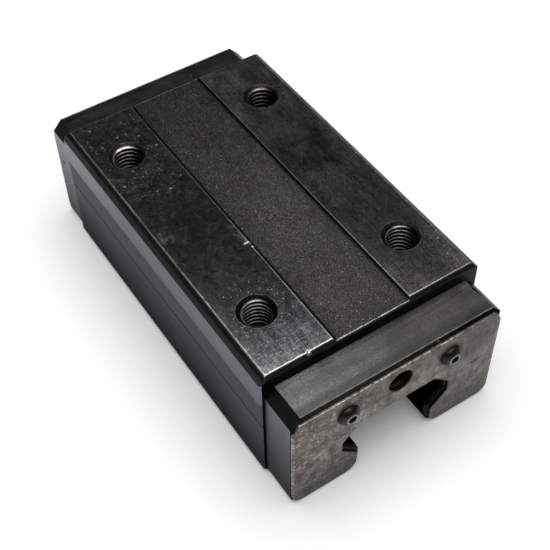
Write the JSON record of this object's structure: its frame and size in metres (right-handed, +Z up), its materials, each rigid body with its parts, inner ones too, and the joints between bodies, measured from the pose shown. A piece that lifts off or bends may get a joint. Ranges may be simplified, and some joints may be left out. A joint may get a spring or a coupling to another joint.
{
  "type": "linear guide block",
  "caption": "Narrow, long profile-rail carriage: ground steel body with tapped holes, plastic end caps, steel end plates and recirculating ball rows around an open rail channel.",
  "frame": {"origin": "centre of the underside of the block", "axes": "+X along the travel towards the end seen in the picture, +Y across, +Z up out of the mounting pads"},
  "size_m": [0.1178, 0.06, 0.0374],
  "materials": {
    "ground_steel": "ground and blackened, worn bright at the edges",
    "cap_plastic": "moulded, satin, scuffed",
    "plate_steel": "pressed sheet, tarnished",
    "seal_rubber": "matt black",
    "screw_steel": "black oxide",
    "guide_plastic": "moulded, satin",
    "retainer_plastic": "moulded, satin, oily",
    "ball_steel": "polished bearing steel"
  },
  "bodies": {
    "block": {"block_body": "ground_steel", "front_end_cap": "cap_plastic", "rear_end_cap": "cap_plastic", "front_seal_plate": "plate_steel", "rear_seal_plate": "plate_steel", "front_end_seal": "seal_rubber", "rear_end_seal": "seal_rubber", "cap_screws": "screw_steel", "front_left_return_guide": "guide_plastic", "front_right_return_guide": "guide_plastic", "rear_left_return_guide": "guide_plastic", "rear_right_return_guide": "guide_plastic", "upper_ball_retainer": "retainer_plastic", "left_side_retainer": "retainer_plastic", "right_side_retainer": "retainer_plastic", "left_lower_retainer": "retainer_plastic", "right_lower_retainer": "retainer_plastic", "left_bottom_seal": "seal_rubber", "right_bottom_seal": "seal_rubber"},
    "upper_right_loaded": {"upper_right_loaded_balls": "ball_steel"},
    "upper_right_return": {"upper_right_return_balls": "ball_steel"},
    "upper_right_front_turn": {"upper_right_front_turn_balls": "ball_steel"},
    "upper_right_rear_turn": {"upper_right_rear_turn_balls": "ball_steel"},
    "upper_left_loaded": {"upper_left_loaded_balls": "ball_steel"},
    "upper_left_return": {"upper_left_return_balls": "ball_steel"},
    "upper_left_front_turn": {"upper_left_front_turn_balls": "ball_steel"},
    "upper_left_rear_turn": {"upper_left_rear_turn_balls": "ball_steel"},
    "lower_right_loaded": {"lower_right_loaded_balls": "ball_steel"},
    "lower_right_return": {"lower_right_return_balls": "ball_steel"},
    "lower_right_front_turn": {"lower_right_front_turn_balls": "ball_steel"},
    "lower_right_rear_turn": {"lower_right_rear_turn_balls": "ball_steel"},
    "lower_left_loaded": {"lower_left_loaded_balls": "ball_steel"},
    "lower_left_return": {"lower_left_return_balls": "ball_steel"},
    "lower_left_front_turn": {"lower_left_front_turn_balls": "ball_steel"},
    "lower_left_rear_turn": {"lower_left_rear_turn_balls": "ball_steel"}
  },
  "joints": [
    {"name": "upper_right_circulation", "type": "slide", "parent": "block", "child": "upper_right_loaded", "axis": [1, 0, 0], "range_m": [-0.00258, 0.00258]},
    {"name": "upper_right_return_run", "type": "slide", "parent": "block", "child": "upper_right_return", "axis": [1, 0, 0], "range_m": [-0.00258, 0.00258]},
    {"name": "upper_right_front_turn_swing", "type": "hinge", "parent": "block", "child": "upper_right_front_turn", "pos_m": [0.0465, 0.01794, 0.01804], "axis": [0, -0.1736, 0.9848], "range_deg": [-30, 30]},
    {"name": "upper_right_rear_turn_swing", "type": "hinge", "parent": "block", "child": "upper_right_rear_turn", "pos_m": [-0.0465, 0.01794, 0.01804], "axis": [0, -0.1736, 0.9848], "range_deg": [-30, 30]},
    {"name": "upper_left_circulation", "type": "slide", "parent": "block", "child": "upper_left_loaded", "axis": [1, 0, 0], "range_m": [-0.00258, 0.00258]},
    {"name": "upper_left_return_run", "type": "slide", "parent": "block", "child": "upper_left_return", "axis": [1, 0, 0], "range_m": [-0.00258, 0.00258]},
    {"name": "upper_left_front_turn_swing", "type": "hinge", "parent": "block", "child": "upper_left_front_turn", "pos_m": [0.0465, -0.01794, 0.01804], "axis": [0, -0.1736, -0.9848], "range_deg": [-30, 30]},
    {"name": "upper_left_rear_turn_swing", "type": "hinge", "parent": "block", "child": "upper_left_rear_turn", "pos_m": [-0.0465, -0.01794, 0.01804], "axis": [0, -0.1736, -0.9848], "range_deg": [-30, 30]},
    {"name": "lower_right_circulation", "type": "slide", "parent": "block", "child": "lower_right_loaded", "axis": [1, 0, 0], "range_m": [-0.00258, 0.00258]},
    {"name": "lower_right_return_run", "type": "slide", "parent": "block", "child": "lower_right_return", "axis": [1, 0, 0], "range_m": [-0.00258, 0.00258]},
    {"name": "lower_right_front_turn_swing", "type": "hinge", "parent": "block", "child": "lower_right_front_turn", "pos_m": [0.0465, 0.01794, 0.00796], "axis": [0, 0.1736, 0.9848], "range_deg": [-30, 30]},
    {"name": "lower_right_rear_turn_swing", "type": "hinge", "parent": "block", "child": "lower_right_rear_turn", "pos_m": [-0.0465, 0.01794, 0.00796], "axis": [0, 0.1736, 0.9848], "range_deg": [-30, 30]},
    {"name": "lower_left_circulation", "type": "slide", "parent": "block", "child": "lower_left_loaded", "axis": [1, 0, 0], "range_m": [-0.00258, 0.00258]},
    {"name": "lower_left_return_run", "type": "slide", "parent": "block", "child": "lower_left_return", "axis": [1, 0, 0], "range_m": [-0.00258, 0.00258]},
    {"name": "lower_left_front_turn_swing", "type": "hinge", "parent": "block", "child": "lower_left_front_turn", "pos_m": [0.0465, -0.01794, 0.00796], "axis": [0, 0.1736, -0.9848], "range_deg": [-30, 30]},
    {"name": "lower_left_rear_turn_swing", "type": "hinge", "parent": "block", "child": "lower_left_rear_turn", "pos_m": [-0.0465, -0.01794, 0.00796], "axis": [0, 0.1736, -0.9848], "range_deg": [-30, 30]}
  ],
  "couplings": [
    {"joint": "upper_right_return_run", "follows": "upper_right_circulation", "ratio": -1},
    {"joint": "upper_right_front_turn_swing", "follows": "upper_right_circulation", "rad_per_m": 202.68},
    {"joint": "upper_right_rear_turn_swing", "follows": "upper_right_circulation", "rad_per_m": 202.68},
    {"joint": "upper_left_return_run", "follows": "upper_left_circulation", "ratio": -1},
    {"joint": "upper_left_front_turn_swing", "follows": "upper_left_circulation", "rad_per_m": 202.68},
    {"joint": "upper_left_rear_turn_swing", "follows": "upper_left_circulation", "rad_per_m": 202.68},
    {"joint": "lower_right_return_run", "follows": "lower_right_circulation", "ratio": -1},
    {"joint": "lower_right_front_turn_swing", "follows": "lower_right_circulation", "rad_per_m": 202.68},
    {"joint": "lower_right_rear_turn_swing", "follows": "lower_right_circulation", "rad_per_m": 202.68},
    {"joint": "lower_left_return_run", "follows": "lower_left_circulation", "ratio": -1},
    {"joint": "lower_left_front_turn_swing", "follows": "lower_left_circulation", "rad_per_m": 202.68},
    {"joint": "lower_left_rear_turn_swing", "follows": "lower_left_circulation", "rad_per_m": 202.68}
  ]
}
